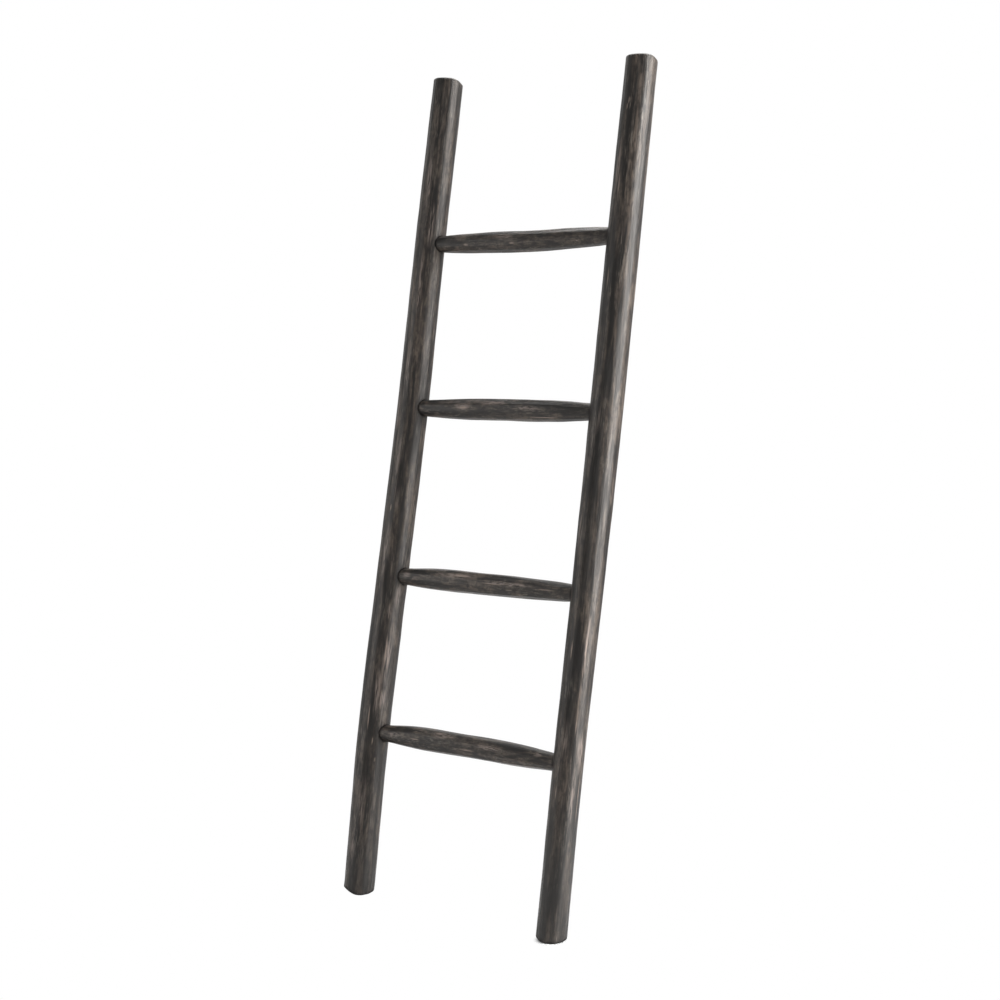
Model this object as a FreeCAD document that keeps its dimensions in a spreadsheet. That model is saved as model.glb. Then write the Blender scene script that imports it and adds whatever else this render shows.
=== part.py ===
import FreeCAD, Part
import math
import os
import Sketcher

# Decorative ladder: two hand-shaped round poles and four barrel-shaped rungs, leaning on a wall.
# Frame: origin on the floor, midway between the two feet. +X runs along the rungs, to the right
# of someone facing the ladder, +Y towards the wall that it leans back to, +Z straight up.
# Each pole and rung is drawn upright, and its placement then leans it back.

doc = FreeCAD.newDocument("decorative_ladder")

SIDES = {"left": -1, "right": 1}
RUNGS = ("1", "2", "3", "4")
# Flats that the drawknife left round each rung and each peg.
RUNG_FACETS = 16
PEG_FACETS = 8

# Driving dimensions, in millimetres, and the lean in degrees. Rung 1 is the lowest.
# Lengths and heights are measured along the poles. A bow is how far the pole's centre line stands
# off its straight line, positive to the right.
SIZES = {
    "lean_angle": 10.7,
    "pole_length": 1600,
    "stile_spacing": 442,
    "rung_1_height": 306,
    "rung_2_height": 610,
    "rung_3_height": 940,
    "rung_4_height": 1266,
    "left_foot_diameter": 57.5,
    "left_diameter_1": 60.5,
    "left_diameter_2": 60.5,
    "left_diameter_3": 60,
    "left_diameter_4": 58.5,
    "left_top_diameter": 58,
    "left_bow_1": -6.5,
    "left_bow_2": -3,
    "left_bow_3": 1,
    "left_bow_4": -1,
    "right_foot_diameter": 54,
    "right_diameter_1": 54,
    "right_diameter_2": 56.5,
    "right_diameter_3": 59.5,
    "right_diameter_4": 59.5,
    "right_top_diameter": 58,
    "right_bow_1": -2,
    "right_bow_2": 0.5,
    "right_bow_3": 1.5,
    "right_bow_4": 0.5,
    "foot_easing": 5.5,
    "top_easing": 4.5,
    "tenon_diameter": 31,
    "tenon_clearance": 0.15,
    "tenon_end_gap": 1,
    "mortise_past_axis": 12,
    "mortise_rim_bevel": 1.2,
    "joint_margin": 6,
    "rung_root_length": 1.5,
    "rung_end_diameter": 33,
    "rung_shoulder_diameter": 38.5,
    "rung_1_left_taper": 45,
    "rung_2_left_taper": 55,
    "rung_3_left_taper": 75,
    "rung_4_left_taper": 100,
    "rung_1_right_taper": 60,
    "rung_2_right_taper": 90,
    "rung_3_right_taper": 62,
    "rung_4_right_taper": 95,
    "rung_1_belly_diameter": 41,
    "rung_2_belly_diameter": 41,
    "rung_3_belly_diameter": 40.5,
    "rung_4_belly_diameter": 39.5,
    "rung_1_belly_shift": -10,
    "rung_2_belly_shift": -15,
    "rung_3_belly_shift": -5,
    "rung_4_belly_shift": 45,
    "rung_1_arch": 2,
    "rung_2_arch": 0.5,
    "rung_3_arch": 0.5,
    "rung_4_arch": -2.5,
    "shoulder_arch_share": 0.45,
    "peg_diameter": 6,
    "peg_clearance": 0.05,
    "peg_bite": 6,
    "peg_set": 0.5,
}

sheet = doc.addObject("Spreadsheet::Sheet", "Sizes")
for row, (alias, value) in enumerate(SIZES.items(), 1):
    sheet.set(f"A{row}", alias.replace("_", " "))
    sheet.set(f"B{row}", str(value))
    sheet.setAlias(f"B{row}", alias)
doc.recompute()


def stile_axis(side):
    """Distance of a pole's straight centre line from the middle plane, along X."""
    return f"{SIDES[side]} * Sizes.stile_spacing / 2"


def joint_axis(side, rung):
    """Place of the bowed centre line where a rung enters the pole, along X."""
    return f"{stile_axis(side)} + Sizes.{side}_bow_{rung}"


def tenon_end(side, rung):
    """Place of the end of a tenon, short of its mortise's floor, along X."""
    reach = "(Sizes.mortise_past_axis - Sizes.tenon_end_gap)"
    return f"{joint_axis(side, rung)} + {SIDES[side]} * {reach}"


def barrel_end(side, rung):
    """Place where a rung's taper meets its tenon, just clear of the pole, along X."""
    reach = f"(Sizes.{side}_diameter_{rung} / 2 + Sizes.rung_root_length)"
    return f"{joint_axis(side, rung)} - {SIDES[side]} * {reach}"


PEG_FRONT = "Sizes.tenon_diameter / 2 + Sizes.peg_bite"
PEG_BORE = "Sizes.peg_diameter + 2 * Sizes.peg_clearance"
MORTISE_BORE = "Sizes.tenon_diameter + 2 * Sizes.tenon_clearance"


# A sketch numbers the points of its geometry from 1: start, end and centre.
START, END, CENTRE = range(1, 4)
X_AXIS = -1
ORIGIN = (X_AXIS, START)
# Geometry is drawn with these before it is bound.
START_RADIUS = 20
START_ANGLE = 10
# Turning about this axis leans a piece back.
LEAN_AXIS = FreeCAD.Vector(-1, 0, 0)
# Lengths that differ by less than this are the same length.
TOUCH = 0.001


def halfway(first, second):
    return f"(({first}) + ({second})) / 2"


def smooth_middle(values, index):
    """Value halfway between two stations on a smooth curve through them and their neighbours.

    This is the four-point rule; past an end, the curve goes on straight.
    """
    first, second = values[index], values[index + 1]
    before = values[index - 1] if index > 0 else f"2 * ({first}) - ({second})"
    after = values[index + 2] if index + 2 < len(values) else f"2 * ({second}) - ({first})"
    return f"(9 * (({first}) + ({second})) - ({before}) - ({after})) / 16"


def add_middles(stations):
    """Stations of place, offset and diameter, with one more between each pair."""
    places, offsets, diameters = zip(*stations)
    finer = []
    for index, station in enumerate(stations[:-1]):
        finer.append(station)
        finer.append((halfway(places[index], places[index + 1]), smooth_middle(offsets, index),
                      smooth_middle(diameters, index)))
    return finer + [stations[-1]]


def origin_plane(body, role):
    return next(plane for plane in body.Origin.OriginFeatures if plane.Role == role)


def lean(piece, along, across="0", turn="0"):
    """Leans a piece back with the ladder.

    Its own origin is some way along the poles and across them, towards the wall. A turn tips it
    further back.
    """
    piece.Placement = FreeCAD.Placement(FreeCAD.Vector(), FreeCAD.Rotation(LEAN_AXIS, START_ANGLE))
    sine = "sin(Sizes.lean_angle)"
    cosine = "cos(Sizes.lean_angle)"
    piece.setExpression("Placement.Rotation.Angle", f"Sizes.lean_angle + {turn}")
    piece.setExpression("Placement.Base.y", f"({along}) * {sine} + ({across}) * {cosine}")
    piece.setExpression("Placement.Base.z", f"({along}) * {cosine} - ({across}) * {sine}")


def new_sketch(body, name, role, turn="0", **offsets):
    """A sketch on one of the body's planes, turned and moved in that plane by expressions."""
    sketch = body.newObject("Sketcher::SketchObject", name)
    sketch.AttachmentSupport = (origin_plane(body, role), [""])
    sketch.MapMode = "FlatFace"
    spin = FreeCAD.Rotation(FreeCAD.Vector(0, 0, 1), START_ANGLE)
    sketch.AttachmentOffset = FreeCAD.Placement(FreeCAD.Vector(), spin)
    sketch.setExpression("AttachmentOffset.Rotation.Angle", turn)
    for axis, expression in offsets.items():
        sketch.setExpression(f"AttachmentOffset.Base.{axis}", expression)
    return sketch


def bind(sketch, constraint, expression):
    """Adds a dimension to the sketch and ties it to an expression."""
    index = sketch.addConstraint(constraint)
    sketch.setExpression(f"Constraints[{index}]", expression)


def draw_section(sketch, diameter):
    """A round section about the sketch's origin, as two half circles that meet on its X axis."""
    circle = Part.Circle(FreeCAD.Vector(), FreeCAD.Vector(0, 0, 1), START_RADIUS)
    upper = sketch.addGeometry(Part.ArcOfCircle(circle, 0, math.pi), False)
    lower = sketch.addGeometry(Part.ArcOfCircle(circle, math.pi, 2 * math.pi), False)
    sketch.addConstraint([
        Sketcher.Constraint("Coincident", upper, CENTRE, *ORIGIN),
        Sketcher.Constraint("PointOnObject", upper, START, X_AXIS),
        Sketcher.Constraint("PointOnObject", upper, END, X_AXIS),
        Sketcher.Constraint("Coincident", lower, START, upper, END),
        Sketcher.Constraint("Coincident", lower, END, upper, START),
        Sketcher.Constraint("PointOnObject", lower, CENTRE, X_AXIS),
    ])
    bind(sketch, Sketcher.Constraint("Diameter", upper, 2 * START_RADIUS), diameter)


def draw_facets(sketch, diameter):
    """A regular polygon about the sketch's origin, with its corners on a circle."""
    circle = Part.Circle(FreeCAD.Vector(), FreeCAD.Vector(0, 0, 1), START_RADIUS)
    guide = sketch.addGeometry(circle, True)
    corners = []
    for corner in range(RUNG_FACETS + 1):
        angle = 2 * math.pi * corner / RUNG_FACETS
        corners.append(FreeCAD.Vector(math.cos(angle), math.sin(angle), 0) * START_RADIUS)
    flats = [sketch.addGeometry(Part.LineSegment(a, b), False) for a, b in zip(corners, corners[1:])]
    rules = [Sketcher.Constraint("Coincident", guide, CENTRE, *ORIGIN),
             Sketcher.Constraint("PointOnObject", flats[0], START, X_AXIS)]
    for flat, after in zip(flats, flats[1:] + flats[:1]):
        rules.append(Sketcher.Constraint("Coincident", flat, END, after, START))
        rules.append(Sketcher.Constraint("PointOnObject", flat, END, guide))
    rules += [Sketcher.Constraint("Equal", flats[0], flat) for flat in flats[1:]]
    sketch.addConstraint(rules)
    bind(sketch, Sketcher.Constraint("Diameter", guide, 2 * START_RADIUS), diameter)


def draw_hole(sketch, diameter, across, up):
    """A circle bound to expressions for its diameter and for its place in the sketch."""
    circle = Part.Circle(FreeCAD.Vector(), FreeCAD.Vector(0, 0, 1), START_RADIUS)
    hole = sketch.addGeometry(circle, False)
    bind(sketch, Sketcher.Constraint("Diameter", hole, 2 * START_RADIUS), diameter)
    bind(sketch, Sketcher.Constraint("DistanceX", *ORIGIN, hole, CENTRE, 0), across)
    bind(sketch, Sketcher.Constraint("DistanceY", *ORIGIN, hole, CENTRE, 0), up)


def draw_offcut(sketch, width, depth):
    """A rectangle under the sketch's X axis, centred on its origin."""
    left, right = (FreeCAD.Vector(x, 0, 0) for x in (-START_RADIUS, START_RADIUS))
    drop = FreeCAD.Vector(0, -START_RADIUS, 0)
    corners = [left, right, right + drop, left + drop]
    outline = zip(corners, corners[1:] + corners[:1])
    sides = [sketch.addGeometry(Part.LineSegment(a, b), False) for a, b in outline]
    saw_line, down, bottom, back_up = sides
    rules = [Sketcher.Constraint("Symmetric", saw_line, START, saw_line, END, *ORIGIN),
             Sketcher.Constraint("Horizontal", saw_line),
             Sketcher.Constraint("Horizontal", bottom),
             Sketcher.Constraint("Vertical", down),
             Sketcher.Constraint("Vertical", back_up)]
    for line, after in zip(sides, sides[1:] + sides[:1]):
        rules.append(Sketcher.Constraint("Coincident", line, END, after, START))
    sketch.addConstraint(rules)
    bind(sketch, Sketcher.Constraint("Distance", saw_line, 2 * START_RADIUS), width)
    bind(sketch, Sketcher.Constraint("Distance", down, START_RADIUS), depth)


def loft(body, name, sections):
    feature = body.newObject("PartDesign::AdditiveLoft", name)
    feature.Profile = sections[0]
    feature.Sections = sections[1:]
    feature.Ruled = True
    doc.recompute()


def cut(body, name, sketch, reverse=False, both_ways=False):
    """A pocket from the sketch through everything on one side of it, or on both sides."""
    before = body.Shape.Volume
    feature = body.newObject("PartDesign::Pocket", name)
    feature.Profile = sketch
    feature.Type = "ThroughAll"
    feature.Reversed = reverse
    if both_ways:
        feature.SideType = "Symmetric"
    doc.recompute()
    if not feature.Shape.Volume < before:
        raise RuntimeError(f"{body.Label}: {name} cut nothing")
    return feature


def mouth_edges(shape, radius):
    """Names of the edges where round holes of one radius break out of a thicker round face."""
    names = []
    for number, edge in enumerate(shape.Edges, 1):
        surfaces = [face.Surface for face in shape.ancestorsOfType(edge, Part.Face)]
        radii = sorted(surface.Radius for surface in surfaces if isinstance(surface, Part.Cylinder))
        if len(radii) == 2 and abs(radii[0] - radius) < TOUCH < radii[1] - radius:
            names.append(f"Edge{number}")
    return names


def rim_edges(shape, face):
    """Names of the edges round a face."""
    return [f"Edge{number}" for number, edge in enumerate(shape.Edges, 1)
            if any(edge.isSame(rim) for rim in face.Edges)]


def make_stile(side):
    """A round pole lofted through circles, sawn level at both ends and bored for rungs and pegs."""
    body = doc.addObject("PartDesign::Body", f"{side}_stile")
    body.Label = f"{side}_stile"
    lean(body, "0")
    body.setExpression("Placement.Base.x", stile_axis(side))
    # The two halves of the pole meet between the mortises and the peg holes, clear of both.
    seam = f"90 - {SIDES[side]} * 45"
    foot_diameter = f"Sizes.{side}_foot_diameter"
    top_diameter = f"Sizes.{side}_top_diameter"
    stations = [("0", "0", foot_diameter)]
    for rung in RUNGS:
        stations.append((f"Sizes.rung_{rung}_height", f"Sizes.{side}_bow_{rung}",
                         f"Sizes.{side}_diameter_{rung}"))
    stations.append(("Sizes.pole_length", "0", top_diameter))
    # The pole is left straight along each joint, from just below its mortise to just above it, and
    # as far past the saw cuts at its ends.
    rings = []
    for station in add_middles(stations):
        height, bow, diameter = station
        shifts = (-1, 1) if station in stations else (0,)
        for shift in shifts:
            place = f"{height} + {shift} * (Sizes.tenon_diameter / 2 + Sizes.joint_margin)"
            rings.append((place, bow, diameter))
    sections = []
    for number, (height, bow, diameter) in enumerate(rings, 1):
        sketch = new_sketch(body, f"{side}_section_{number}", "XY_Plane", seam, x=bow, z=height)
        draw_section(sketch, diameter)
        sections.append(sketch)
    loft(body, f"{side}_pole", sections)

    # Both ends are sawn level when the ladder leans, so at a slant to the pole.
    ends = (("foot", "0", "0", foot_diameter), ("top", "180", "Sizes.pole_length", top_diameter))
    for place, turn, height, diameter in ends:
        sketch = new_sketch(body, f"{side}_{place}_offcut_sketch", "YZ_Plane",
                            f"Sizes.lean_angle + {turn}", y=height)
        draw_offcut(sketch, f"2 * {diameter}", diameter)
        pole = cut(body, f"{side}_{place}_offcut", sketch, both_ways=True)
    for place, pick in (("foot", min), ("top", max)):
        end_face = pick(pole.Shape.Faces, key=lambda face: face.CenterOfMass.z)
        easing = body.newObject("PartDesign::Chamfer", f"{side}_{place}_easing")
        easing.Base = (pole, rim_edges(pole.Shape, end_face))
        easing.setExpression("Size", f"Sizes.{place}_easing")
        doc.recompute()
        pole = easing

    for rung in RUNGS:
        floor = f"Sizes.{side}_bow_{rung} + {SIDES[side]} * Sizes.mortise_past_axis"
        sketch = new_sketch(body, f"{side}_mortise_sketch_{rung}", "YZ_Plane",
                            y=f"Sizes.rung_{rung}_height", z=floor)
        draw_hole(sketch, MORTISE_BORE, "0", "0")
        pole = cut(body, f"{side}_mortise_{rung}", sketch, reverse=SIDES[side] < 0)

    mortise_radius = sheet.tenon_diameter / 2 + sheet.tenon_clearance
    bevel = body.newObject("PartDesign::Chamfer", f"{side}_mortise_bevels")
    bevel.Base = (pole, mouth_edges(pole.Shape, mortise_radius))
    bevel.setExpression("Size", "Sizes.mortise_rim_bevel")
    doc.recompute()

    sketch = new_sketch(body, f"{side}_peg_hole_sketch", "XZ_Plane", z=PEG_FRONT)
    for rung in RUNGS:
        draw_hole(sketch, PEG_BORE, f"Sizes.{side}_bow_{rung}", f"Sizes.rung_{rung}_height")
    cut(body, f"{side}_peg_holes", sketch)
    return body


def make_rung(rung):
    """A faceted barrel with a round tenon at each end, which has a cross hole for its peg."""
    body = doc.addObject("PartDesign::Body", f"rung_{rung}")
    body.Label = f"rung_{rung}"
    lean(body, f"Sizes.rung_{rung}_height")
    arch = f"Sizes.rung_{rung}_arch"
    shoulder_arch = f"{arch} * Sizes.shoulder_arch_share"
    left_end = barrel_end("left", rung)
    right_end = barrel_end("right", rung)
    left_shoulder = f"{left_end} + Sizes.rung_{rung}_left_taper"
    right_shoulder = f"{right_end} - Sizes.rung_{rung}_right_taper"
    stations = [
        (left_end, "0", "Sizes.rung_end_diameter"),
        (left_shoulder, shoulder_arch, "Sizes.rung_shoulder_diameter"),
        (f"Sizes.rung_{rung}_belly_shift", arch, f"Sizes.rung_{rung}_belly_diameter"),
        (right_shoulder, shoulder_arch, "Sizes.rung_shoulder_diameter"),
        (right_end, "0", "Sizes.rung_end_diameter"),
    ]
    sections = []
    for number, (across, rise, diameter) in enumerate(add_middles(stations), 1):
        sketch = new_sketch(body, f"rung_{rung}_section_{number}", "YZ_Plane", y=rise, z=across)
        draw_facets(sketch, diameter)
        sections.append(sketch)
    loft(body, f"rung_{rung}_barrel", sections)

    for side in SIDES:
        sketch = new_sketch(body, f"rung_{rung}_{side}_tenon_sketch", "YZ_Plane",
                            z=barrel_end(side, rung))
        draw_section(sketch, "Sizes.tenon_diameter")
        tenon = body.newObject("PartDesign::Pad", f"rung_{rung}_{side}_tenon")
        tenon.Profile = sketch
        tenon.Reversed = SIDES[side] < 0
        span = f"({tenon_end(side, rung)}) - ({barrel_end(side, rung)})"
        tenon.setExpression("Length", f"abs({span})")
        doc.recompute()

    sketch = new_sketch(body, f"rung_{rung}_peg_hole_sketch", "XZ_Plane")
    for side in SIDES:
        draw_hole(sketch, PEG_BORE, joint_axis(side, rung), "0")
    cut(body, f"rung_{rung}_peg_holes", sketch, both_ways=True)
    return body


def make_pegs(side):
    """Eight-sided pegs, one through each tenon, driven from the back and cut off below the surface."""
    pegs = []
    for rung in RUNGS:
        peg = doc.addObject("Part::Prism", f"{side}_peg_{rung}")
        peg.Polygon = PEG_FACETS
        back = f"Sizes.{side}_diameter_{rung} / 2 - Sizes.peg_set"
        lean(peg, f"Sizes.rung_{rung}_height", f"-({PEG_FRONT})", "90")
        peg.setExpression("Circumradius", "Sizes.peg_diameter / 2")
        peg.setExpression("Height", f"{back} + {PEG_FRONT}")
        peg.setExpression("Placement.Base.x", joint_axis(side, rung))
        pegs.append(peg)
    group = doc.addObject("Part::Compound", f"{side}_tenon_pegs")
    group.Label = f"{side}_tenon_pegs"
    group.Links = pegs
    return group


subparts = [make_stile(side) for side in SIDES]
subparts += [make_rung(rung) for rung in RUNGS]
subparts += [make_pegs(side) for side in SIDES]
doc.recompute()

for item in doc.Objects:
    if {"Invalid", "Error"} & set(item.State):
        raise RuntimeError(f"{item.Label} failed to build: {item.State}")
for subpart in subparts:
    if subpart.Shape.isNull() or not subpart.Shape.isValid():
        raise RuntimeError(f"{subpart.Label} has no valid shape")

os.makedirs("parts", exist_ok=True)
for subpart in subparts:
    subpart.Shape.exportStep(f"parts/{subpart.Label}.step")
    print(subpart.Label, len(subpart.Shape.Solids), round(subpart.Shape.Volume))
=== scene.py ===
import math

import bpy
import numpy as np
from mathutils import Matrix, Quaternion, Vector


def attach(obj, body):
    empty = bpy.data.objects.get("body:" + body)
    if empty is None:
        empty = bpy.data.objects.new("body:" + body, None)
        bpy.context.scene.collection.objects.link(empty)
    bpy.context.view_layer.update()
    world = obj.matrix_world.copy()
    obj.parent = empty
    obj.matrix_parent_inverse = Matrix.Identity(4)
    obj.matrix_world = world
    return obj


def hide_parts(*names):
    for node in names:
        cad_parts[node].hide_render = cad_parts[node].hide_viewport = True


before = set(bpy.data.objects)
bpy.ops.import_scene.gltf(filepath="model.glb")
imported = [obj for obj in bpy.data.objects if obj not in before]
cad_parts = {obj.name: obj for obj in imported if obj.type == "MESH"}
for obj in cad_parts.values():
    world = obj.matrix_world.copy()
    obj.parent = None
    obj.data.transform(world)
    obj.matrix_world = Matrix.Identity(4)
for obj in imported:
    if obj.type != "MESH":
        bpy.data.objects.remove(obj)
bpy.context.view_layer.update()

# Decorative ladder of black-stained wood: two hewn poles, four whittled rungs, eight pegs.
# Each piece is shaped upright, with its sizes in millimetres, and then leans back with the ladder.
MM = 0.001
LEAN = math.radians(10.7)
LENGTH = 1600
RUNG_HEIGHTS = (306, 610, 940, 1266)
# The poles are straight over this length at their ends.
STRAIGHT_END = 21.5
STATIONS = (STRAIGHT_END, *RUNG_HEIGHTS, LENGTH - STRAIGHT_END)
# Each pole's bow to the right and its diameter at those stations. Its turn, in radians, sets where
# round the pole the ridges between its flats lie.
POLES = {
    "left": {"axis": -221, "into_rung": 1, "seed": 3.1, "turn": -0.15,
             "bow": (0, -6.5, -3, 1, -1, 0),
             "diameter": (57.5, 60.5, 60.5, 60, 58.5, 58)},
    "right": {"axis": 221, "into_rung": -1, "seed": 8.7, "turn": -0.05,
              "bow": (0, -2, 0.5, 1.5, 0.5, 0),
              "diameter": (54, 54, 56.5, 59.5, 59.5, 58)},
}
# How far in from the side, and how far from the end, each ring of an end's eased rim is.
FOOT_RIM = ((1.8, 0.2), (1.2, 0.6), (0.6, 1.5), (0.15, 2.6), (0, 3.8))
TOP_RIM = ((2.6, 0.2), (1.8, 0.5), (0.9, 1.3), (0.3, 2.4), (0, 3.8))
# The ends are worn away, by this depth, on the side towards an azimuth from the front to the right.
END_WEAR = {
    "left": {"foot": (8.5, -32), "top": (8.5, 125)},
    "right": {"foot": (2.5, -55), "top": (8, 125)},
}
# It begins at a share of the radius, fades out along the pole and is narrower with a higher power.
WEAR_FROM_SHARE = 0.45
WEAR_FADE = (4, 34)
WEAR_POWER = 3
# The tops were sawn off by eye: how much too high, and how steeply they fall away to one side.
TOP_CUTS = {"left": (1.0, 0.07), "right": (-0.2, 0.035)}
TOP_FALL_TURN = math.radians(125)
# The slant of an end fades out between these distances from it.
SLANT_FADE = (30, 120)
# The dark end grain shows up to the first distance from an end, and is gone at the second. At the foot it
# reaches over the eased rim, where its near-black is painted shade.
FOOT_END_GRAIN_AND_SHADE = (2.5, 5.5)
TOP_GRAIN = (0.3, 1.5)
PITH_OFF_AXIS = (4, -3)
RING_SPACING = 2.5
TENON = 31
TENON_PAST_AXIS = 11
MORTISE_BORE = 31.3
MORTISE_PAST_AXIS = 12
MOUTH_BEVEL = 1.4
# The rungs from the lowest up: the lengths of their two tapers, how thick they are and where, and how
# far they arch up or, where it is less than 0, sag. Their marks are explained below.
RUNGS = (
    {"tapers": (45, 60), "belly": 41, "belly_at": -10, "arch": 2, "seed": 21.3,
     "bare": ((9, -10, 50, 2.6), (-60, 52, 22, 2.4), (-110, 0, 24, 2)),
     "rubbed": ((-48, 45, 70, 16), (162, 36, 22, 14), (60, 20, 70, 12), (-165, 5, 30, 14))},
    {"tapers": (55, 90), "belly": 41, "belly_at": -15, "arch": 0.5, "seed": 27.9,
     "bare": ((-46, 37, 52, 2.6), (29, 5, 48, 2.4), (90, 14, 15, 2.6), (143, 2, 56, 2.2)),
     "rubbed": ((-177, 10, 26, 16), (-60, 30, 110, 16), (60, 12, 150, 12))},
    {"tapers": (75, 62), "belly": 40.5, "belly_at": -5, "arch": 0.5, "seed": 33.2,
     "bare": ((-85, 1, 32, 6), (96, -47, 76, 2.6)),
     "rubbed": ((-85, 5, 60, 18), (-20, 30, 80, 12), (60, 5, 90, 12))},
    {"tapers": (100, 95), "belly": 39.5, "belly_at": 45, "arch": -2.5, "seed": 41.6,
     "bare": ((-121, -24, 13, 5), (-13, -27, 14, 4), (131, -33, 6, 3)),
     "rubbed": ((-30, 5, 60, 10),)},
)
RUNG_NECK = 14
NECK_ARCH_SHARE = 0.1
SHOULDER_ARCH_SHARE = 0.45
TENON_EASING_DEPTH = 1.5
TENON_EASING_LENGTH = 3
RUNG_DIAMETERS = {"mouth": 31.4, "neck": 33, "shoulder": 38.5}
# Wood is left this much thicker before its flats are cut, so that it comes out at its size.
CUTTING_ALLOWANCE = 1.018
# Round a mortise a pole is hewn less, and a rung is hewn fully only this far from its ends.
SEAT_HEWING = 0.35
SEAT_HEWING_FADE = (18, 45)
RUNG_HEWING_FADE = 24
# How rounded the ridges between flats are, as a share of the radius.
RIDGE_ROUNDING = 0.018
SHARP_EDGE = math.radians(38)
# Roughness of the waxed wood, and of the end grain, the joints and the painted shade.
SATIN, DULL = 0.42, 0.85
# Marks of use on each pole, as height, azimuth from the front to the right, length and width: bare
# scratches and nicks, and places where hands and knees rubbed the stain thin. Those on a rung are
# given by their place from its middle to the right and their angle from the front upwards.
MARKS = {
    "left": {
        "bare": ((1167, -15, 58, 2.2), (335, 14, 54, 3.2), (740, -2, 16, 3), (255, 52, 8, 3.4),
                 (290, 37, 16, 2.6), (1364, 12, 14, 2.6), (620, 30, 40, 1.8), (905, 24, 36, 1.8),
                 (448, 60, 90, 1.8), (462, 48, 70, 1.6)),
        "rubbed": ((449, 56, 120, 22), (372, 55, 44, 20), (930, -20, 90, 12), (575, 70, 60, 18),
                   (760, 20, 50, 10), (540, 45, 50, 12), (1390, 5, 150, 14), (1180, 15, 160, 12),
                   (1010, 0, 140, 12), (820, 8, 160, 10), (660, 0, 120, 12), (190, 20, 160, 14),
                   (90, -5, 90, 14), (1300, 34, 100, 14), (385, 34, 110, 14)),
    },
    "right": {
        "bare": ((1350, -7, 62, 2.6), (1180, -13, 58, 2.2), (552, 53, 44, 1.8), (512, 51, 64, 2.2),
                 (474, 49, 34, 1.8), (430, 46, 80, 1.6), (388, 45, 60, 1.5), (510, -4, 44, 3.6),
                 (257, -7, 38, 2.2), (247, 87, 90, 2), (1509, 0, 16, 3.4), (1497, -6, 14, 2.6)),
        "rubbed": ((917, 7, 60, 14), (500, 50, 170, 7), (720, -22, 110, 12), (8, 51, 18, 2),
                   (1390, -20, 120, 12), (330, 75, 90, 16), (360, 10, 80, 16), (250, 60, 120, 10)),
    },
}
# A mark is full within the first share of its half length or width, and gone at the second.
MARK_FADE = (0.2, 1.1)
# Painted shade: near-black stripes along each pole, a little left of the side facing the camera, where the
# lights leave it darkest; given in the same way.
CORE_SHADE_STRIPES = {
    "left": ((800, 22, 140, 22), (600, 20, 130, 22), (235, 20, 170, 22)),
    "right": ((830, 14, 430, 27), (665, 17, 180, 26), (985, 16, 130, 20), (398, 14, 130, 24)),
}
CORE_SHADE_SHARE = 0.85
# Darker towards each joint: how much, over what distance it fades, and how far back it is on a rung.
JOINT_DARKENING = 0.85
JOINT_DARKENING_REACH = 2.2
RUNG_DARKENING_BACK = 3
# Grey floor dust rubbed into the stain of the feet: up to what height it is full, and where it ends.
FOOT_DUST = {"left": (20, 150), "right": (110, 270)}
DUST_SHARE = 0.45
PEG = 6
PEG_BORE = 6.1
# How far in front of the pole's axis a peg ends, and how far below the pole's back it is cut off.
PEG_FRONT = 21.5
PEG_SET = 0.5


def linear(hex_colour):
    """sRGB hex, such as #3a3633, as linear RGBA."""
    channels = [int(hex_colour[i:i + 2], 16) / 255 for i in (1, 3, 5)]
    return [c / 12.92 if c <= 0.04045 else ((c + 0.055) / 1.055) ** 2.4 for c in channels] + [1]


def add(tree, kind, inputs=None, **settings):
    """Adds a node with its settings and gives its outputs; an input is a value or a linked output."""
    node = tree.nodes.new(kind)
    for name, value in settings.items():
        setattr(node, name, value)
    for socket, value in (inputs or {}).items():
        if isinstance(value, bpy.types.NodeSocket):
            tree.links.new(value, node.inputs[socket])
        else:
            node.inputs[socket].default_value = value
    return node.outputs


def smooth_through(places, values, at):
    """Values at some places on a smooth curve through a maker's stations, level past the ends."""
    places, values = np.asarray(places, float), np.asarray(values, float)
    at = np.clip(np.asarray(at, float), places[0], places[-1])
    slopes = np.gradient(values, places)
    span = np.clip(np.searchsorted(places, at, side="right") - 1, 0, len(places) - 2)
    width = places[span + 1] - places[span]
    t = (at - places[span]) / width
    start = values[span] * (1 + 2 * t) + slopes[span] * width * t
    end = values[span + 1] * (3 - 2 * t) - slopes[span + 1] * width * (1 - t)
    return start * (1 - t) ** 2 + end * t ** 2


def ease(low, high, at):
    """0 below low, 1 above high, and a smooth step between."""
    t = np.clip((np.asarray(at, float) - low) / (high - low), 0, 1)
    return t * t * (3 - 2 * t)


def pole_radius(side, height):
    return smooth_through(STATIONS, POLES[side]["diameter"], height) / 2


def pole_x(side, height):
    return POLES[side]["axis"] + smooth_through(STATIONS, POLES[side]["bow"], height)


def end_rings(radius, rim):
    """Depths and radii of the rings from the middle of a cut end out over its eased rim."""
    inward, depths = np.transpose(rim)
    flat = radius - inward[0]
    shares = np.array([0.03, 0.35, 0.65, 0.88])
    return np.append(shares * depths[0], depths), np.append(shares * flat, radius - inward)


def path_object(name, splines):
    """Lines to sweep a section along, each a list of points, half thicknesses and hewing amounts."""
    points, edges, girths, hews = [], [], [], []
    for line, radii, hewing in splines:
        first = len(points)
        points += [[c * MM for c in point] for point in line]
        edges += [(first + i, first + i + 1) for i in range(len(line) - 1)]
        girths += [r * MM for r in radii]
        hews += list(hewing)
    mesh = bpy.data.meshes.new(name)
    mesh.from_pydata(points, edges, [])
    for attribute, values in (("girth", girths), ("hew", hews)):
        mesh.attributes.new(attribute, "FLOAT", "POINT").data.foreach_set("value", values)
    piece = bpy.data.objects.new(name, mesh)
    bpy.context.scene.collection.objects.link(piece)
    return piece


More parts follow.
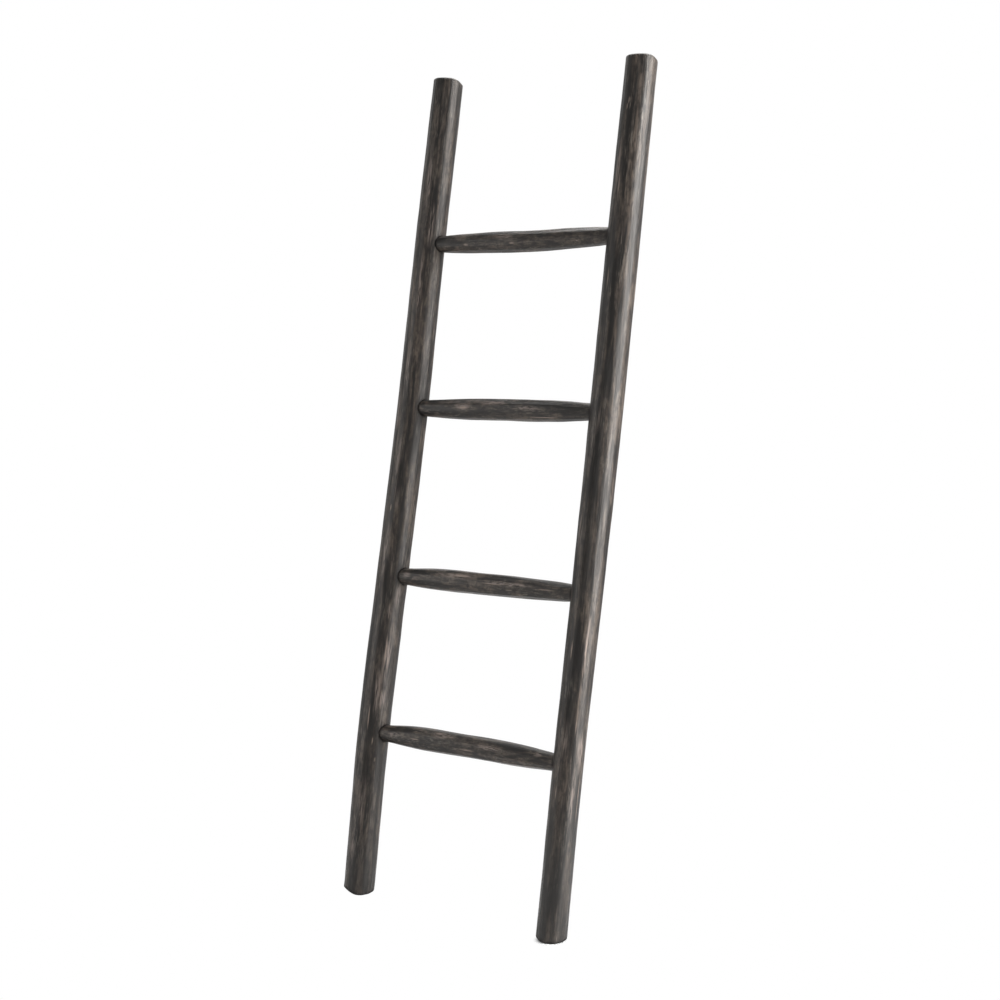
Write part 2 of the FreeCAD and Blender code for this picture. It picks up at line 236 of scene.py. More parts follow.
def hewing_tree():
    """A round section swept along a line, with flats, hollows and raised grain cut into it.

    The flats are those of a drawknife: they run along the wood, wander a little round it, and are
    cut deeper and shallower from stroke to stroke.
    """
    tree = bpy.data.node_groups.new("hewn_round", "GeometryNodeTree")
    tree.interface.new_socket("Path", in_out="INPUT", socket_type="NodeSocketGeometry")
    for name, kind in (("Sides", "Int"), ("Flats", "Int"), ("Flat depth", "Float"), ("Turn", "Float"),
                       ("Wander", "Float"), ("Strokes per metre", "Float"), ("Hollows", "Float"),
                       ("Raised grain", "Float"), ("Seed", "Float"), ("Wood", "Material")):
        tree.interface.new_socket(name, in_out="INPUT", socket_type=f"NodeSocket{kind}")
    tree.interface.new_socket("Piece", in_out="OUTPUT", socket_type="NodeSocketGeometry")
    given = add(tree, "NodeGroupInput")

    # The section is swept, and each point keeps what it needs of the line that it came from.
    line = add(tree, "GeometryNodeMeshToCurve", {"Mesh": given["Path"]})[0]
    held = add(tree, "GeometryNodeCaptureAttribute", {"Geometry": line})
    keeper = held[0].node
    sources = {
        "axis": ("VECTOR", add(tree, "GeometryNodeInputPosition")[0]),
        "tangent": ("VECTOR", add(tree, "GeometryNodeInputTangent")[0]),
        "normal": ("VECTOR", add(tree, "GeometryNodeInputNormal")[0]),
        "along": ("FLOAT", add(tree, "GeometryNodeSplineParameter")["Length"]),
        "hew": ("FLOAT", add(tree, "GeometryNodeInputNamedAttribute", {"Name": "hew"})[0]),
    }
    for name, (kind, source) in sources.items():
        keeper.capture_items.new(kind, name)
        tree.links.new(source, keeper.inputs[name])
    section = add(tree, "GeometryNodeCurvePrimitiveCircle", {
        "Resolution": given["Sides"], "Radius": 1.0})[0]
    girth = add(tree, "GeometryNodeInputNamedAttribute", {"Name": "girth"})[0]
    piece = add(tree, "GeometryNodeCurveToMesh", {
        "Curve": held["Geometry"], "Profile Curve": section, "Scale": girth, "Fill Caps": True})[0]

    # Where a point is, round the wood and along it.
    position = add(tree, "GeometryNodeInputPosition")[0]
    spoke = add(tree, "ShaderNodeVectorMath", {0: position, 1: held["axis"]}, operation="SUBTRACT")[0]
    radius = add(tree, "ShaderNodeVectorMath", {0: spoke}, operation="LENGTH")["Value"]
    outward = add(tree, "ShaderNodeVectorMath", {0: spoke}, operation="NORMALIZE")[0]
    sideways = add(tree, "ShaderNodeVectorMath", {0: held["tangent"], 1: held["normal"]},
                   operation="CROSS_PRODUCT")[0]
    ahead = add(tree, "ShaderNodeVectorMath", {0: outward, 1: held["normal"]},
                operation="DOT_PRODUCT")["Value"]
    aside = add(tree, "ShaderNodeVectorMath", {0: outward, 1: sideways}, operation="DOT_PRODUCT")["Value"]
    place = add(tree, "ShaderNodeCombineXYZ", {0: ahead, 1: aside, 2: held["along"]})[0]

    def unevenness(spot, fineness, seed_step, detail=1.0):
        """A smooth random pattern from about -0.5 to 0.5, repeating itself nowhere."""
        spread = add(tree, "ShaderNodeVectorMath", {0: spot, 1: fineness}, operation="MULTIPLY")[0]
        seed = add(tree, "ShaderNodeMath", {0: given["Seed"], 1: seed_step}, operation="ADD")[0]
        noise = add(tree, "ShaderNodeTexNoise", {
            "Vector": spread, "W": seed, "Scale": 1.0, "Detail": detail}, noise_dimensions="4D")[0]
        return add(tree, "ShaderNodeMath", {0: noise, 1: 0.5}, operation="SUBTRACT")[0]

    # The angle round the wood, turned and pushed sideways where a stroke wandered, in flats.
    per_stroke = add(tree, "ShaderNodeCombineXYZ", {0: 0.8, 1: 0.8, 2: given["Strokes per metre"]})[0]
    drift = unevenness(place, per_stroke, 0.0)
    angle = add(tree, "ShaderNodeMath", {0: aside, 1: ahead}, operation="ARCTAN2")[0]
    angle = add(tree, "ShaderNodeMath", {0: angle, 1: given["Turn"]}, operation="ADD")[0]
    angle = add(tree, "ShaderNodeMath", {0: drift, 1: given["Wander"], 2: angle},
                operation="MULTIPLY_ADD")[0]
    pitch = add(tree, "ShaderNodeMath", {0: 2 * math.pi, 1: given["Flats"]}, operation="DIVIDE")[0]
    turn = add(tree, "ShaderNodeMath", {0: angle, 1: pitch}, operation="DIVIDE")[0]
    nearest = add(tree, "ShaderNodeMath", {0: turn}, operation="ROUND")[0]
    flat = add(tree, "ShaderNodeMath", {0: nearest, 1: given["Flats"]}, operation="FLOORED_MODULO")[0]
    off_middle = add(tree, "ShaderNodeMath", {0: turn, 1: nearest}, operation="SUBTRACT")[0]
    off_middle = add(tree, "ShaderNodeMath", {0: off_middle, 1: pitch}, operation="MULTIPLY")[0]

    # How deep this flat is cut here, from 0, round, to 1, flat from edge to edge.
    flat_spot = add(tree, "ShaderNodeCombineXYZ", {0: flat, 1: held["along"]})[0]
    per_flat = add(tree, "ShaderNodeCombineXYZ", {0: 3.7, 1: given["Strokes per metre"]})[0]
    depth = unevenness(flat_spot, per_flat, 17.0)
    depth = add(tree, "ShaderNodeMapRange", {"Value": depth, 1: -0.2, 2: 0.15, 3: 0.1, 4: 1.0})[0]
    depth = add(tree, "ShaderNodeMath", {0: depth, 1: given["Flat depth"]}, operation="MULTIPLY")[0]
    depth = add(tree, "ShaderNodeMath", {0: depth, 1: held["hew"]}, operation="MULTIPLY")[0]
    half_pitch = add(tree, "ShaderNodeMath", {0: pitch, 1: 0.5}, operation="MULTIPLY")[0]
    flat_middle = add(tree, "ShaderNodeMath", {0: half_pitch}, operation="COSINE")[0]
    apothem = add(tree, "ShaderNodeMix", {0: depth, 2: 1.0, 3: flat_middle})[0]
    lift = add(tree, "ShaderNodeMath", {0: off_middle}, operation="COSINE")[0]
    cut = add(tree, "ShaderNodeMath", {0: apothem, 1: lift}, operation="DIVIDE")[0]
    share = add(tree, "ShaderNodeMath", {0: 1.0, 1: cut, 2: RIDGE_ROUNDING}, operation="SMOOTH_MIN")[0]

    # Shallow hollows and raised grain, which fade out over the cut ends.
    hollow = unevenness(place, (1.6, 1.6, 11.0), 29.0, 2.0)
    grain = unevenness(place, (9.0, 9.0, 14.0), 43.0, 2.0)
    relief = add(tree, "ShaderNodeMath", {0: hollow, 1: given["Hollows"]}, operation="MULTIPLY")[0]
    relief = add(tree, "ShaderNodeMath", {0: grain, 1: given["Raised grain"], 2: relief},
                 operation="MULTIPLY_ADD")[0]
    body = add(tree, "ShaderNodeMapRange", {"Value": radius, 1: 4 * MM, 2: 14 * MM})[0]
    body = add(tree, "ShaderNodeMath", {0: body, 1: held["hew"]}, operation="MULTIPLY")[0]
    reach = add(tree, "ShaderNodeMath", {0: radius, 1: share}, operation="MULTIPLY")[0]
    reach = add(tree, "ShaderNodeMath", {0: relief, 1: body, 2: reach}, operation="MULTIPLY_ADD")[0]
    spot = add(tree, "ShaderNodeVectorMath", {0: outward, 1: reach, 2: held["axis"]},
               operation="MULTIPLY_ADD")[0]
    piece = add(tree, "GeometryNodeSetPosition", {"Geometry": piece, "Position": spot})[0]

    # For the finish: how near a ridge between two flats is, and each flat's own tone of stain.
    ridge = add(tree, "ShaderNodeMath", {0: off_middle, 1: half_pitch}, operation="DIVIDE")[0]
    ridge = add(tree, "ShaderNodeMath", {0: ridge}, operation="ABSOLUTE")[0]
    ridge = add(tree, "ShaderNodeMapRange", {"Value": ridge, 1: 0.7, 2: 1.0})[0]
    ridge = add(tree, "ShaderNodeMath", {0: ridge, 1: depth}, operation="MULTIPLY")[0]
    tone = unevenness(flat_spot, per_flat, 61.0)
    for name, value in (("ridge", ridge), ("tone", tone)):
        piece = add(tree, "GeometryNodeStoreNamedAttribute",
                    {"Geometry": piece, "Name": name, "Value": value})[0]
    piece = add(tree, "GeometryNodeSetShadeSmooth", {"Geometry": piece})[0]
    piece = add(tree, "GeometryNodeRealizeInstances", {"Geometry": piece})[0]
    piece = add(tree, "GeometryNodeSetMaterial", {"Geometry": piece, "Material": given["Wood"]})[0]
    add(tree, "NodeGroupOutput", {"Piece": piece})
    return tree


HEWING = hewing_tree()


def hewn(name, splines, settings, cutters=()):
    """A finished plain mesh: the lines swept and hewn, then bored by the cutters."""
    piece = path_object(name, splines)
    modifier = piece.modifiers.new("hewing", "NODES")
    modifier.node_group = HEWING
    for item in HEWING.interface.items_tree:
        if item.name in settings:
            modifier[item.identifier] = settings[item.name]
    for cutter in cutters:
        bore = piece.modifiers.new(cutter.name, "BOOLEAN")
        bore.operation = "DIFFERENCE"
        bore.solver = "EXACT"
        bore.object = cutter
    bpy.context.view_layer.update()
    evaluated = piece.evaluated_get(bpy.context.evaluated_depsgraph_get())
    mesh = bpy.data.meshes.new_from_object(evaluated)
    path = piece.data
    piece.modifiers.clear()
    piece.data = mesh
    mesh.name = name
    bpy.data.meshes.remove(path)
    for cutter in cutters:
        bpy.data.objects.remove(cutter)
    mesh.set_sharp_from_angle(angle=SHARP_EDGE)
    return piece


def stained_wood(name, grain_axis, seed, rubbed_share, stretch):
    """Softwood stained black and rubbed back along the grain, then waxed to a satin.

    The eye gets charcoal blotches one to two centimetres wide and up to a hand long, with fine dark
    grain over them, grey-brown wood where the stain is rubbed thin, above all on the ridges, a few
    bare tan scratches, and a soft sheen that is duller at the joints and on the cut ends.
    """
    material = bpy.data.materials.new(name)
    material.use_nodes = True
    tree = material.node_tree
    shader = tree.nodes["Principled BSDF"]
    spot = add(tree, "ShaderNodeTexCoord")["Object"]

    def streaks(width, length, seed_step, low, high, most=1.0, detail=3.0):
        """Streaks along the grain, of a width and length in millimetres, from 0 to the most.

        They begin where the noise passes low and are full where it passes high.
        """
        size = [width * MM, width * MM, width * MM]
        size[grain_axis] = length * stretch * MM
        spread = add(tree, "ShaderNodeMapping", {
            "Vector": spot, "Rotation": (-LEAN, 0, 0), "Scale": size}, vector_type="TEXTURE")[0]
        noise = add(tree, "ShaderNodeTexNoise", {
            "Vector": spread, "W": seed + seed_step, "Scale": 1.0, "Detail": detail, "Roughness": 0.55,
            "Distortion": 0.35}, noise_dimensions="4D")[0]
        return add(tree, "ShaderNodeMapRange", {
            "Value": noise, "From Min": low, "From Max": high, "To Max": most},
            interpolation_type="SMOOTHSTEP")[0]

    ridge, tone, joint_darkening_and_shade, bare, worn, dust, pith, end_grain_and_foot_shade = (
        add(tree, "ShaderNodeAttribute", attribute_name=each)["Fac"]
        for each in ("ridge", "tone", "joint_darkening_and_shade", "bare", "rubbed", "dust", "pith", "end_grain_and_foot_shade"))
    tone = add(tree, "ShaderNodeMapRange", {"Value": tone, 1: -0.15, 2: 0.2, 4: 0.5})[0]
    patches = streaks(22, 200, 71.0, 0.46, 0.62)
    flecks = add(tree, "ShaderNodeMath", {0: patches, 1: streaks(2.2, 26, 83.0, 0.5, 0.64, 0.85)},
                 operation="MULTIPLY")[0]
    worn = add(tree, "ShaderNodeMath", {0: worn, 1: streaks(2.4, 34, 67.0, 0.4, 0.6, 0.85)},
               operation="MULTIPLY")[0]
    bare = add(tree, "ShaderNodeMath", {0: bare, 1: streaks(3, 30, 89.0, 0.26, 0.5, 0.9)},
               operation="MULTIPLY")[0]
    worn_ridge = add(tree, "ShaderNodeMath", {0: ridge, 1: streaks(7, 140, 31.0, 0.4, 0.65, 0.6)},
                     operation="MULTIPLY")[0]
    grain = streaks(2.2, 45, 11.0, 0.43, 0.63, 0.62, 4.0)
    # Growth rings on the cut ends, which soaked up the most stain; over the feet's eased rims the same
    # near-black is painted shade.
    rings = add(tree, "ShaderNodeMath", {0: pith, 1: 2 * math.pi / RING_SPACING}, operation="MULTIPLY")[0]
    rings = add(tree, "ShaderNodeMath", {0: rings}, operation="SINE")[0]
    rings = add(tree, "ShaderNodeMapRange", {"Value": rings, 1: -1.0, 2: 1.0, 3: 0.5, 4: 1.0})[0]
    end_grain_and_foot_shade = add(tree, "ShaderNodeMath", {0: end_grain_and_foot_shade, 1: rings}, operation="MULTIPLY")[0]
    # What lies over what, from the black stain up: pale wood, dark stain, grain, wear, dust, near-black end
    # grain that is painted shade on the feet's eased rims, and darkening at the joints together with the
    # painted shade stripes along the poles.
    layers = ((streaks(17, 115, 0.0, 0.34, 0.6), "#483f38"), (tone, "#4b423a"),
              (streaks(19, 65, 23.0, 0.47, 0.66, rubbed_share), "#574d44"), (worn_ridge, "#5a514a"),
              (streaks(13, 140, 47.0, 0.43, 0.59, 0.95), "#080707"),
              (streaks(14, 42, 53.0, 0.48, 0.66, 0.85), "#090808"), (flecks, "#5b544d"),
              (streaks(5, 11, 97.0, 0.48, 0.66, 0.6), "#0b0a0a"), (grain, "#0a0909"),
              (worn, "#796d66"), (dust, "#1e1e1e"), (bare, "#8a7a6f"), (end_grain_and_foot_shade, "#060505"),
              (joint_darkening_and_shade, "#080707"))
    colour = linear("#161210")
    for amount, stain in layers:
        colour = add(tree, "ShaderNodeMix", {0: amount, 6: colour, 7: linear(stain)}, data_type="RGBA")[2]
    tree.links.new(colour, shader.inputs["Base Color"])

    dull = add(tree, "ShaderNodeMath", {0: end_grain_and_foot_shade, 1: joint_darkening_and_shade}, operation="MAXIMUM")[0]
    dull = add(tree, "ShaderNodeMath", {0: grain, 1: 0.35, 2: dull}, operation="MULTIPLY_ADD")[0]
    dull = add(tree, "ShaderNodeMapRange", {"Value": dull, "To Min": SATIN, "To Max": DULL})[0]
    tree.links.new(dull, shader.inputs["Roughness"])
    shader.inputs["IOR"].default_value = 1.5
    shader.inputs["Specular IOR Level"].default_value = 0.5
    shader.inputs["Specular Tint"].default_value = linear("#fffaf5")
    relief = add(tree, "ShaderNodeBump", {"Height": grain, "Strength": 0.4, "Distance": 0.4 * MM},
                 invert=True)[0]
    tree.links.new(relief, shader.inputs["Normal"])
    return material


# Long streaks on the poles, shorter ones on the rungs, and the shortest on the pegs, rubbed the least.
X_AXIS, Y_AXIS, Z_AXIS = 0, 1, 2
POLE_WOOD = stained_wood("black_stained_pine_pole", Z_AXIS, 4.0, rubbed_share=0.6, stretch=1.0)
RUNG_WOOD = stained_wood("black_stained_pine_rung", X_AXIS, 9.0, rubbed_share=0.65, stretch=0.45)
PEG_WOOD = stained_wood("black_stained_beech_peg", Y_AXIS, 5.0, rubbed_share=0.3, stretch=0.2)


def closed_tubes(name, tubes):
    """A mesh of closed tubes, each a list of rings of points with the same count."""
    points, faces = [], []
    for rings in tubes:
        count = len(rings[0])
        first = len(points)
        for ring in rings:
            points += [[c * MM for c in point] for point in ring]
        for level in range(len(rings) - 1):
            for i in range(count):
                a = first + level * count + i
                b = first + level * count + (i + 1) % count
                faces.append((a, b, b + count, a + count))
        faces.append(tuple(range(first + count - 1, first - 1, -1)))
        faces.append(tuple(range(first + (len(rings) - 1) * count, first + len(rings) * count)))
    mesh = bpy.data.meshes.new(name)
    mesh.from_pydata(points, [], faces)
    piece = bpy.data.objects.new(name, mesh)
    bpy.context.scene.collection.objects.link(piece)
    return piece


def corners(sides):
    """The angles of the corners of a round bore with so many sides."""
    return np.radians(np.arange(0, 360, 360 / sides))


def mortise_cutter(side):
    """Blind mortises with a bevelled mouth that follows the round pole."""
    turn = corners(sides=72)
    into = POLES[side]["into_rung"]
    tubes = []
    for height in RUNG_HEIGHTS:
        radius, axis = pole_radius(side, height), pole_x(side, height)
        bore, mouth = MORTISE_BORE / 2, MORTISE_BORE / 2 + MOUTH_BEVEL
        rings = []
        for half, depth in ((bore, None), (bore, MOUTH_BEVEL), (mouth, 0), (mouth, -radius)):
            across, up = half * np.cos(turn), half * np.sin(turn)
            if depth is None:
                reach = np.full_like(turn, -MORTISE_PAST_AXIS)
            else:
                reach = np.sqrt(radius ** 2 - across ** 2) - depth
            rings.append(np.column_stack((axis + into * reach, into * across, height + up)))
        tubes.append(rings)
    return closed_tubes(f"{side}_mortises", tubes)


def peg_cutter(side):
    """Round holes for the pegs, bored from the back to just past the tenon."""
    turn = corners(sides=24)
    tubes = []
    for height in RUNG_HEIGHTS:
        axis = pole_x(side, height)
        rings = []
        for back in (-PEG_FRONT, 2 * PEG_FRONT):
            x, z = axis - PEG_BORE / 2 * np.cos(turn), height + PEG_BORE / 2 * np.sin(turn)
            rings.append(np.column_stack((x, np.full_like(turn, back), z)))
        tubes.append(rings)
    return closed_tubes(f"{side}_peg_holes", tubes)


def points_of(piece):
    """The points of a mesh, in millimetres."""
    flat = np.empty(3 * len(piece.data.vertices), np.float32)
    piece.data.vertices.foreach_get("co", flat)
    return flat.reshape(-1, 3) / MM


def mark(piece, attribute, amounts):
    """Gives each point of a piece an amount that its finish reads."""
    layer = piece.data.attributes.new(attribute, "FLOAT", "POINT")
    layer.data.foreach_set("value", np.asarray(amounts, np.float32))


def darkening_at_joint(distance):
    """How much darker the wood is, by the distance from a joint."""
    return JOINT_DARKENING * np.exp(-np.clip(distance, 0, None) / JOINT_DARKENING_REACH)


def lean_back(piece, node):
    """Leans a finished piece back and puts it in the place of its CAD node."""
    piece.data.transform(Matrix.Rotation(-LEAN, 4, "X"))
    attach(piece, "root")
    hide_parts(node)


def wear_and_shade(places, along, turn, radius):
    """How strongly each point is marked, by the place, angle, length and width of its marks: worn places,
    and stripes of painted shade.
    """
    most = np.zeros(len(along))
    for middle, angle, length, width in places:
        round_off = np.mod(turn - math.radians(angle) + math.pi, 2 * math.pi) - math.pi
        off = np.hypot(2 * round_off * radius / width, 2 * (along - middle) / length)
        most = np.maximum(most, 1 - ease(*MARK_FADE, off))
    return most


def shape_ends(piece, side):
    """Slants a pole's two ends, to be level once the ladder leans, and wears their rims away."""
    at = points_of(piece)
    across = at[:, 0] - pole_x(side, at[:, 2])
    azimuth = np.arctan2(across, -at[:, 1])
    off_axis = np.hypot(across, at[:, 1])
    out = ease(WEAR_FROM_SHARE, 1, off_axis / pole_radius(side, at[:, 2]))
    from_foot, from_top = at[:, 2], LENGTH - at[:, 2]
    moved = at[:, 1] * math.tan(LEAN) * (1 - ease(*SLANT_FADE, np.minimum(from_foot, from_top)))
    for end, to_end, inwards in (("foot", from_foot, 1), ("top", from_top, -1)):
        depth, turn = END_WEAR[side][end]
        facing = np.clip(np.cos(azimuth - math.radians(turn)), 0, 1) ** WEAR_POWER
        moved += inwards * depth * facing * out * (1 - ease(*WEAR_FADE, to_end))
    rise, slant = TOP_CUTS[side]
    downhill = off_axis * np.cos(azimuth - TOP_FALL_TURN)
    moved += (rise - slant * downhill) * (1 - ease(*SLANT_FADE, from_top))
    at[:, 2] += moved
    piece.data.vertices.foreach_set("co", (at * MM).ravel().astype(np.float32))
    piece.data.update()


def make_pole(side):
    """A bowed pole with its mortises and peg holes, hewn, marked by use, darkened at its joints, painted
    with stripes of shade and leaned back.
    """
    spacing = 3.4
    foot_depth, foot_radius = end_rings(pole_radius(side, 0), FOOT_RIM)
    top_depth, top_radius = end_rings(pole_radius(side, LENGTH), TOP_RIM)
    low, high = foot_depth[-1], LENGTH - top_depth[-1]
    middle = np.linspace(low, high, round((high - low) / spacing))[1:-1]
    heights = np.concatenate((foot_depth, middle, LENGTH - top_depth[::-1]))
    radii = np.concatenate((foot_radius, pole_radius(side, middle), top_radius[::-1]))
    radii = radii * CUTTING_ALLOWANCE
    nearest = np.min(np.abs(heights[:, None] - np.array(RUNG_HEIGHTS)), axis=1)
    hewing = SEAT_HEWING + (1 - SEAT_HEWING) * ease(*SEAT_HEWING_FADE, nearest)
    line = np.column_stack((pole_x(side, heights), np.zeros_like(heights), heights))
    piece = hewn(f"{side}_hewn_pole", [(line, radii, hewing)], {
        "Sides": 128, "Flats": 11, "Flat depth": 0.48, "Turn": POLES[side]["turn"], "Wander": 0.35,
        "Strokes per metre": 3.6, "Hollows": 2.2 * MM, "Raised grain": 0.5 * MM,
        "Seed": POLES[side]["seed"], "Wood": POLE_WOOD},
        [mortise_cutter(side), peg_cutter(side)])
    at = points_of(piece)
    mouth = np.full(len(at), np.inf)
    for height in RUNG_HEIGHTS:
        facing = POLES[side]["into_rung"] * (at[:, 0] - pole_x(side, height)) > 0
        away = np.hypot(at[:, 1], at[:, 2] - height) - MORTISE_BORE / 2
        mouth = np.where(facing, np.minimum(mouth, away), mouth)
    across = at[:, 0] - pole_x(side, at[:, 2])
    azimuth = np.arctan2(across, -at[:, 1])
    radius = pole_radius(side, at[:, 2])
    # Painted shade: near-black stripes along the pole where its round side turns away from the lights.
    core_shade = wear_and_shade(CORE_SHADE_STRIPES[side], at[:, 2], azimuth, radius)
    # Darker towards each joint.
    mark(piece, "joint_darkening_and_shade", np.maximum(darkening_at_joint(mouth), CORE_SHADE_SHARE * core_shade))
    for attribute, places in MARKS[side].items():
        mark(piece, attribute, wear_and_shade(places, at[:, 2], azimuth, radius))
    mark(piece, "dust", DUST_SHARE * (1 - ease(*FOOT_DUST[side], at[:, 2])))
    mark(piece, "pith", np.hypot(across - PITH_OFF_AXIS[0], at[:, 1] - PITH_OFF_AXIS[1]))
    # Near-black end grain on the cut ends, reaching over the feet's eased rims as painted shade.
    mark(piece, "end_grain_and_foot_shade", 1 - ease(*FOOT_END_GRAIN_AND_SHADE, at[:, 2]) * ease(*TOP_GRAIN, LENGTH - at[:, 2]))
    shape_ends(piece, side)
    lean_back(piece, f"{side}_stile")


def make_rung(number):
    """A whittled rung with a tenon at each end, from the pole on the left to the one on the right."""
    rung = RUNGS[number - 1]
    height = RUNG_HEIGHTS[number - 1]
    spacing = 2.6
    left, right = (pole_x(side, height) for side in ("left", "right"))
    left_mouth = left + pole_radius("left", height)
    right_mouth = right - pole_radius("right", height)
    sizes = RUNG_DIAMETERS
    left_taper, right_taper = rung["tapers"]
    places = (left - TENON_PAST_AXIS, left, left_mouth, left_mouth + RUNG_NECK, left_mouth + left_taper,
              rung["belly_at"], right_mouth - right_taper, right_mouth - RUNG_NECK, right_mouth,
              right, right + TENON_PAST_AXIS)
    diameters = (TENON, TENON, sizes["mouth"], sizes["neck"], sizes["shoulder"], rung["belly"],
                 sizes["shoulder"], sizes["neck"], sizes["mouth"], TENON, TENON)
    neck_rise, shoulder_rise = NECK_ARCH_SHARE * rung["arch"], SHOULDER_ARCH_SHARE * rung["arch"]
    rises = (0, 0, 0, neck_rise, shoulder_rise, rung["arch"], shoulder_rise, neck_rise, 0, 0, 0)
    across = np.linspace(places[0], places[-1], round((places[-1] - places[0]) / spacing))
    radii = smooth_through(places, diameters, across) / 2
    end = np.minimum(across - places[0], places[-1] - across)
    radii = radii - TENON_EASING_DEPTH * (1 - ease(0, TENON_EASING_LENGTH, end))
    hewing = ease(0, RUNG_HEWING_FADE, np.minimum(across - left_mouth, right_mouth - across))
    radii = radii * (1 + (CUTTING_ALLOWANCE - 1) * hewing)
    line = np.column_stack((across, np.zeros_like(across), height + smooth_through(places, rises, across)))
    piece = hewn(f"whittled_rung_{number}", [(line, radii, hewing)], {
        "Sides": 84, "Flats": 9, "Flat depth": 1.0, "Wander": 0.9, "Strokes per metre": 6.2,
        "Hollows": 2.4 * MM, "Raised grain": 0.5 * MM, "Seed": rung["seed"], "Wood": RUNG_WOOD})
    at = points_of(piece)
    from_joint = np.minimum(at[:, 0] - left_mouth, right_mouth - at[:, 0])
    # Darker towards each joint.
    mark(piece, "joint_darkening_and_shade", darkening_at_joint(from_joint + RUNG_DARKENING_BACK))
    upwards = np.arctan2(at[:, 2] - height, -at[:, 1])
    for attribute in ("bare", "rubbed"):
        mark(piece, attribute, wear_and_shade(rung[attribute], at[:, 0], upwards, rung["belly"] / 2))
    lean_back(piece, f"rung_{number}")


def make_pegs(side):
    """Eight-sided pegs with their ends eased, cut off near the back of the pole."""
    easing = 0.7
    splines = []
    for height in RUNG_HEIGHTS:
        back = pole_radius(side, height) - PEG_SET
        places = np.array([-PEG_FRONT, easing - PEG_FRONT, 0, back - easing, back])
        radii = np.array([PEG / 2 - easing, PEG / 2, PEG / 2, PEG / 2, PEG / 2 - easing])
        across, up = np.full_like(places, pole_x(side, height)), np.full_like(places, height)
        splines.append((np.column_stack((across, places, up)), radii, np.zeros_like(places)))
    piece = hewn(f"{side}_pegs", splines, {
        "Sides": 8, "Flats": 8, "Flat depth": 0.0, "Wander": 0.0, "Strokes per metre": 10.0, "Hollows": 0.0,
        "Raised grain": 0.0, "Seed": POLES[side]["seed"], "Wood": PEG_WOOD})
    lean_back(piece, f"{side}_tenon_pegs")


for pole_side in POLES:
    make_pole(pole_side)
    make_pegs(pole_side)
for rung_number in range(1, len(RUNGS) + 1):
    make_rung(rung_number)


VIEW_AZIMUTH = math.radians(34.912)
# Where the floor's shadow shows at each foot: its place right and back from the pole's axis, how far
# round there the matt floor is seen in full, and where it has faded to white.
FOOT_SHADOWS = {"left": ((1, 6), 16, 27), "right": ((4, -6), 20, 34)}


def pale_floor():
    """A pale floor that keeps the shadow at the ladder's feet and fades to plain white further off."""
    half = 40.0
    mesh = bpy.data.meshes.new("floor")
    mesh.from_pydata([(-half, -half, 0), (half, -half, 0), (half, half, 0), (-half, half, 0)], [],
                     [(0, 1, 2, 3)])
    floor = bpy.data.objects.new("floor", mesh)
    bpy.context.scene.collection.objects.link(floor)
    material = bpy.data.materials.new("pale_matt_floor")
    material.use_nodes = True
    tree = material.node_tree
    tree.nodes.clear()
    spot = add(tree, "ShaderNodeTexCoord")["Object"]
    whiteness = add(tree, "ShaderNodeLightPath")["Is Camera Ray"]
    for side, ((right, back), full, gone) in FOOT_SHADOWS.items():
        middle = ((POLES[side]["axis"] + right) * MM, back * MM, 0)
        away = add(tree, "ShaderNodeVectorMath", {0: spot, 1: middle}, operation="DISTANCE")["Value"]
        clear = add(tree, "ShaderNodeMapRange", {
            "Value": away, "From Min": full * MM, "From Max": gone * MM},
            interpolation_type="SMOOTHSTEP")[0]
        whiteness = add(tree, "ShaderNodeMath", {0: whiteness, 1: clear}, operation="MULTIPLY")[0]
    matt = add(tree, "ShaderNodeBsdfDiffuse", {"Color": linear("#cfcfcf")})[0]
    white = add(tree, "ShaderNodeEmission", {"Strength": 1.0})[0]
    mixed = add(tree, "ShaderNodeMixShader", {0: whiteness, 1: matt, 2: white})[0]
    add(tree, "ShaderNodeOutputMaterial", {"Surface": mixed})
    mesh.materials.append(material)


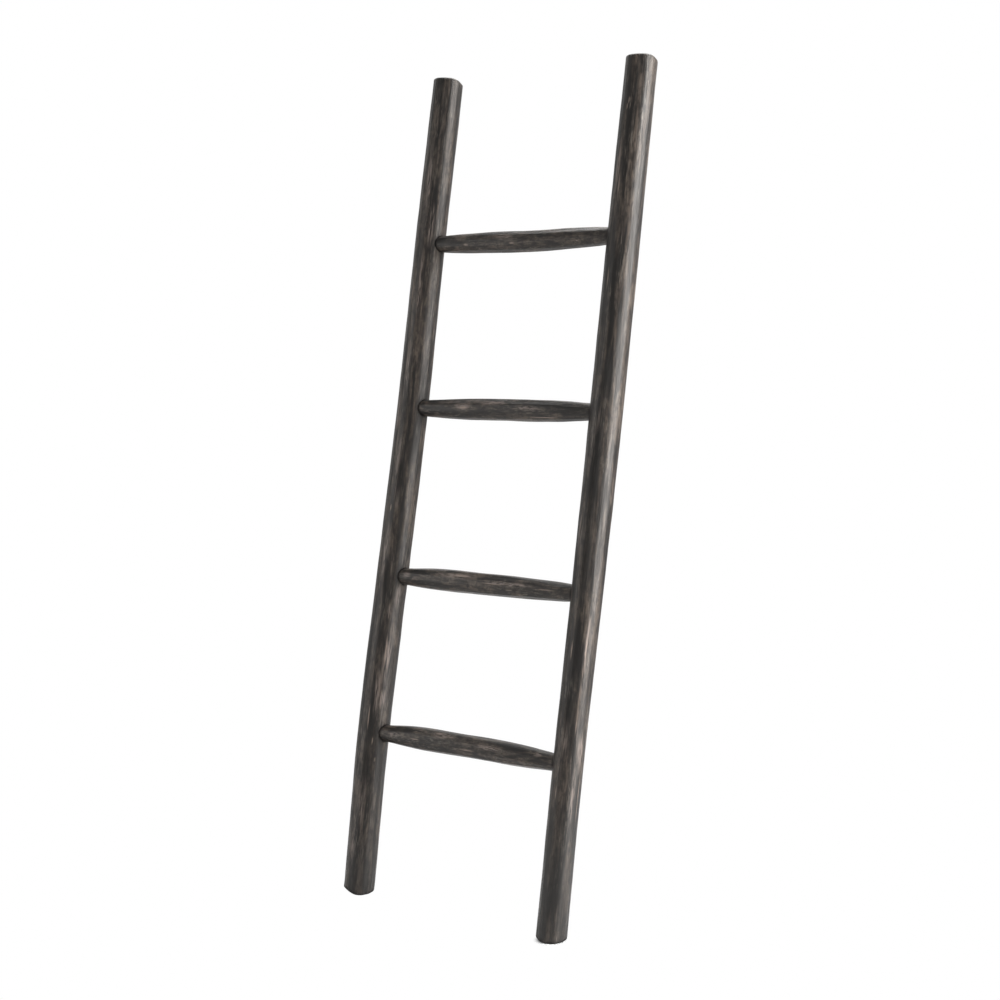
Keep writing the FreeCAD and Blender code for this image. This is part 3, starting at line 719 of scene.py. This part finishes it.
def white_surround(ambient, room):
    """White where it is seen, a plain soft light elsewhere, and a dim room in reflections of the front."""
    world = bpy.data.worlds.new("white_surround")
    world.use_nodes = True
    tree = world.node_tree
    path = add(tree, "ShaderNodeLightPath")
    mirrored = add(tree, "ShaderNodeMath", {0: path["Is Glossy Ray"], 1: path["Is Transmission Ray"]},
                   operation="MAXIMUM")[0]
    towards = add(tree, "ShaderNodeTexCoord")["Generated"]
    away_from_view = (-math.sin(VIEW_AZIMUTH), math.cos(VIEW_AZIMUTH), 0)
    room_ends, white_begins = 0.2, 0.9
    behind = add(tree, "ShaderNodeVectorMath", {0: towards, 1: away_from_view},
                 operation="DOT_PRODUCT")["Value"]
    shown = add(tree, "ShaderNodeMapRange", {
        "Value": behind, "From Min": room_ends, "From Max": white_begins, "To Min": room, "To Max": 1.0},
        interpolation_type="SMOOTHSTEP")[0]
    strength = add(tree, "ShaderNodeMix", {0: mirrored, 2: ambient, 3: shown})[0]
    strength = add(tree, "ShaderNodeMath", {0: strength, 1: path["Is Camera Ray"]}, operation="MAXIMUM")[0]
    background = tree.nodes["Background"]
    background.inputs["Color"].default_value = (1, 1, 1, 1)
    tree.links.new(strength, background.inputs["Strength"])
    bpy.context.scene.world = world


def softbox(name, place, aim, width, tall, watts, roll=0):
    """A rectangular light at a place in metres, turned towards another and rolled by some degrees."""
    lamp = bpy.data.lights.new(name, "AREA")
    lamp.shape = "RECTANGLE"
    lamp.size, lamp.size_y, lamp.energy = width, tall, watts
    box = bpy.data.objects.new(name, lamp)
    box.location = place
    turn = (Vector(aim) - Vector(place)).to_track_quat("-Z", "Y")
    box.rotation_euler = (turn @ Quaternion((0, 0, 1), math.radians(roll))).to_euler()
    bpy.context.scene.collection.objects.link(box)


def photograph_camera():
    """The photograph's view: from the front right at chest height, looking down a little."""
    elevation = math.radians(5.062)
    focal_pixels, image_pixels = 1575, 1000
    camera = bpy.data.cameras.new("camera")
    camera.sensor_width = 36
    camera.lens = camera.sensor_width * focal_pixels / image_pixels
    holder = bpy.data.objects.new("camera", camera)
    holder.location = (1.6925, -2.2665, 1.0167)
    holder.rotation_euler = (math.pi / 2 - elevation, 0, VIEW_AZIMUTH)
    bpy.context.scene.collection.objects.link(holder)
    bpy.context.scene.camera = holder


pale_floor()
white_surround(ambient=0.52, room=0.34)
# A tall light at the right, a weak one at the front left, and a wide one from above and behind.
softbox("key", place=(1.55, 0.38, 1.24), aim=(0, 0.15, 0.95), width=0.66, tall=2.4, watts=72, roll=-15)
softbox("left", place=(-1.5, -1.4, 1.1), aim=(0, 0.1, 0.8), width=0.8, tall=1.8, watts=12.5)
softbox("back", place=(0.1, 1.0, 3.0), aim=(0, 0.25, 0.9), width=1.8, tall=1.4, watts=80)
photograph_camera()
bpy.context.scene.view_settings.view_transform = "Standard"
